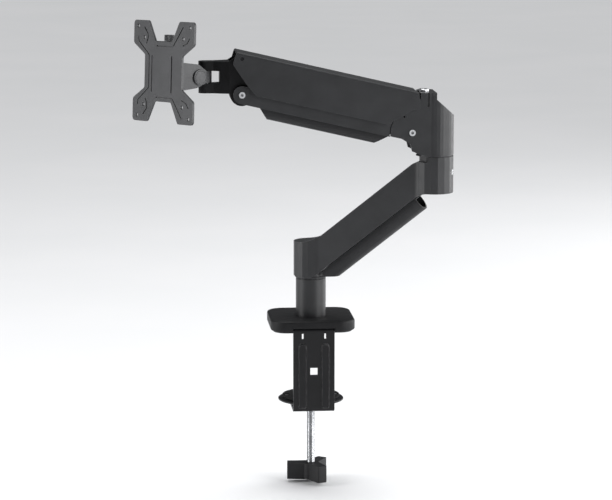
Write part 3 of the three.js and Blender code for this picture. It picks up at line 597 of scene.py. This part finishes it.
def disc():
    """Pressed disc with a turned-down rim; its rubber pad and rivets stay the CAD's."""
    low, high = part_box("pressure_disc")
    radius, bottom, face = high.x / MM, low.z / MM, high.z / MM
    plate = lathe("pressure_plate", [
        (0, face - 1.4), (3.5, face - 1.4), (3.5, bottom), (9, bottom), (9, bottom + 2),
        (radius - 5, bottom + 2), (radius - 0.7, bottom + 0.2), (radius, bottom + 0.6),
        (radius, bottom + 1.9), (radius - 0.8, bottom + 2.5), (radius - 4.6, face), (0, face),
    ], sides=120)
    rivet_hole = 2.1
    rivet_low, rivet_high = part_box("disc_rivet_right")
    rivet_x = (rivet_low.x + rivet_high.x) / 2 / MM
    for x in (-rivet_x, rivet_x):
        carve(plate, drum("rivet_hole", rivet_hole, bottom - 1, face + 1, at=(x, 0)))
    soften(plate, 0.3, 30, 2)
    finish_piece(plate, BRACKET_COAT, "clamp_disc", "coat", "pressure_disc")


# ---------------------------------------------------------------- monitor plate and head

# Upper right quarter of the X, from its top edge round to its side: (x, y, corner radius).
PLATE_QUARTER = [(16, 33.3, 3), (30, 56.5, 4), (58.5, 56.5, 4.5), (58.5, 31, 4), (36, 18.5, 3)]
# Sides of the square hole patterns.
PATTERNS = (75, 100)


def mirrored(line, across, up):
    return [(x * across, y * up, *r) for x, y, *r in line]


def monitor_plate():
    """X-shaped plate with hole patterns, pressed lines inside its edge and two long vertical ones."""
    thick, groove_depth, hole = 2.5, 1.0, 2.3
    right = PLATE_QUARTER + mirrored(PLATE_QUARTER, 1, -1)[::-1]
    left = mirrored(right, -1, 1)[::-1]
    plate = prism("monitor_plate", rounded(right + left, 8), 0, thick, PLATE)
    holes = [
        drum("hole", hole, -1, thick + 1, PLATE, 28, (a * size / 2, b * size / 2))
        for size in PATTERNS for a in (-1, 1) for b in (-1, 1)
    ]

    def groove(line, half):
        outline = ribbon(rounded(line, 6, closed=False), half)
        return prism("groove", outline, thick - groove_depth, thick + 1, PLATE)

    side_half = [(-49.3, 38.4), (-48.6, 33, 3), (-27.6, 18.5, 4)]
    side_line = side_half + mirrored(side_half, 1, -1)[::-1]
    arm_line = [(-13, 28.6), (18.5, 28.6, 3), (37.5, 50.5)]
    hook = [(-38, 49), (-31, 42, 4), (-30.5, 36.5, 4), (-34, 30.5)]
    dash = [(50, 38.5), (45, 32.5, 4), (37, 30)]
    panel = [(0, 18), (0, -23)]
    grooves = [groove(side_line, 0.65)]
    for x, half in ((-22, 0.7), (16.5, 1.0)):
        grooves.append(groove([(px + x, py) for px, py in panel], half))
    for up in (-1, 1):
        grooves.append(groove(mirrored(arm_line, 1, up), 0.75 if up > 0 else 0.55))
        grooves.append(groove(mirrored(hook, 1, up), 0.75))
        grooves.append(groove(mirrored(dash, 1, up), 0.6))
    carve(plate, *holes, *grooves)
    soften(plate, 0.4, 35, 3)
    finish_piece(plate, HEAD_COAT, "vesa_plate", "head_paint", "vesa_plate")


def cap(node, side):
    """Domed cap over the tilt axle, with a fine step round its face."""
    outward = CAP_SIDE * side
    where = place(TILT_AXLE, PLATE_UP.cross(outward), PLATE_UP)
    radius, inner_face = 9, 17.0
    steps = [(0, 0), (radius, 0), (radius, 1.2), (8.6, 1.7), (7.6, 1.85), (7.4, 1.65), (7.0, 1.65),
             (6.8, 1.95), (3, 2.0), (0, 2.0)]
    dome = lathe(node + "_dome", [(r, inner_face + height) for r, height in steps], where, 72)
    soften(dome, 0.12, 30, 2)
    finish_piece(dome, HEAD_COAT, "carrier", "head_paint", node)


def thumbscrew():
    """Knurled thumbscrew above the plate's carrier."""
    knurls, outer, root, height = 30, 5.65, 5.15, 6.8
    outline = [on_ring(root if k % 2 else outer, 0, k, knurls * 2)[:2] for k in range(knurls * 2)]
    head = prism("thumbscrew_head", outline, 0.1, height, THUMBSCREW)
    core = [(0, -0.05), (4.6, -0.05), (4.9, 0.4), (4.9, 6.6), (4.4, 6.95), (0, 6.95)]
    fuse(head, lathe("crown", core, THUMBSCREW, 48), drum("shank", 2, -5.6, 1, THUMBSCREW, 24))
    soften(head, 0.15, 30, 2)
    finish_piece(head, HEAD_COAT, "thumbscrew", "head_paint", "release_thumbscrew")


# ---------------------------------------------------------------- CAD nodes that keep their mesh

# Look and edge radius in millimetres; the rest are bare metal with the small edge.
SMALL_EDGE = 0.25
DRESSED = {
    "lower_arm_casting": (COAT, 1.0),
    "elbow_housing": (COAT, 0.8),
    "upper_link_cover": (COAT, 0.9),
    "lower_link_channel": (COAT, 0.4),
    "strut_cylinder": (COAT, 0.4),
    "head_pin_upper": (PLASTIC, 0.3),
    "base_plate": (COAT, 0.4),
    "slide_plate": (HEAD_COAT, 0.4),
    "head_bracket": (PLASTIC, 0.8),
    "tilt_block": (HEAD_COAT, 0.6),
    "plate_carrier": (HEAD_COAT, 0.7),
    "lower_cable_cover": (BELLY_PLASTIC, 0.4),
    "under_cover": (COAT, 0.7),
    "upper_cable_cover": (BELLY_PLASTIC, 0.5),
    "base_sleeve": (POST_COAT, 0.2),
    "desk_pad": (RUBBER, 0.3),
    "pressure_pad": (RUBBER, 0.4),
    "post_washer": (NYLON, 0.2),
    "elbow_sleeve": (NYLON, 0.2),
    "elbow_washer": (NYLON, 0.15),
    "friction_washer": (NYLON, 0.15),
}
BRIGHT = {"elbow_pin_lower", "head_pin_lower", "tension_bolt", "disc_rivet_left", "disc_rivet_right"}


def dress():
    for name, cad in NODES.items():
        if cad.hide_render:
            continue
        look, width = DRESSED.get(name, (ZINC if name in BRIGHT else STEEL, SMALL_EDGE))
        cad.data.materials.clear()
        cad.data.materials.append(look)
        soften(cad, width, facets=True)


# ---------------------------------------------------------------- floor, lights and camera


def studio():
    """A pale floor just below the knob, three soft boxes and a soft light from above, in metres."""
    floor_gap, floor_size = 0.004, 40
    bpy.ops.mesh.primitive_plane_add(size=floor_size, location=(0, 0, cad_bounds[0].z - floor_gap))
    floor = bpy.context.object
    floor.name = "floor"
    g = Graph("pale_floor")
    g.link(g.blend(g.noise(400, 3), (0.74, 0.75, 0.76), (0.80, 0.80, 0.81)), g.shader.inputs["Base Color"])
    g.shader.inputs["Roughness"].default_value = 0.9
    floor.data.materials.append(g.material)

    world = bpy.data.worlds.new("studio")
    bpy.context.scene.world = world
    world.use_nodes = True
    background = world.node_tree.nodes["Background"]
    background.inputs["Color"].default_value = (0.80, 0.82, 0.85, 1)
    background.inputs["Strength"].default_value = 0.12

    middle = Vector((0, -0.06, 0.15))
    softboxes = [  # name, place, width, height, watts
        ("right_softbox", (1.97, -1.2, 0.7), 1.7, 2.2, 62),
        ("right_rear_softbox", (2.2, 0.9, 0.7), 2.0, 2.2, 50),
        ("left_softbox", (-2.2, -0.3, 0.7), 1.4, 2.0, 42),
    ]
    for name, where, width, height, watts in softboxes:
        lamp = bpy.data.lights.new(name, "AREA")
        lamp.shape = "RECTANGLE"
        lamp.size = width
        lamp.size_y = height
        lamp.energy = watts
        lamp_object = bpy.data.objects.new(name, lamp)
        lamp_object.location = where
        lamp_object.rotation_euler = (middle - Vector(where)).to_track_quat("-Z", "Y").to_euler()
        bpy.context.scene.collection.objects.link(lamp_object)

    sky = bpy.data.lights.new("overhead", "SUN")
    sky.energy = 2.1
    sky.angle = math.radians(40)
    overhead = bpy.data.objects.new("overhead", sky)
    overhead.rotation_euler = (math.radians(-12), 0, 0)
    bpy.context.scene.collection.objects.link(overhead)


def camera():
    """A long lens a little above the arm and to the left of its front, and a plain tone curve."""
    azimuth, elevation, distance = math.radians(-5), math.radians(9.5), 3.1
    aim_right, aim_up = -0.0056, 0.0894
    back = Vector((
        math.sin(azimuth) * math.cos(elevation),
        -math.cos(azimuth) * math.cos(elevation),
        math.sin(elevation),
    ))
    turn = (-back).to_track_quat("-Z", "Y")
    aim = turn @ Vector((aim_right, aim_up, 0))
    data = bpy.data.cameras.new("camera")
    data.lens = 155.9
    data.sensor_width = 36
    data.clip_end = 100
    made = bpy.data.objects.new("camera", data)
    made.location = aim + back * distance
    made.rotation_euler = turn.to_euler()
    bpy.context.scene.collection.objects.link(made)
    bpy.context.scene.camera = made
    bpy.context.scene.view_settings.view_transform = "Standard"


camera()
base_shell()
bracket()
post_tube()
clamp_thread()
knob()
disc()
monitor_plate()
cap("tilt_cap_left", -1)
cap("tilt_cap_right", 1)
thumbscrew()
dress()
studio()
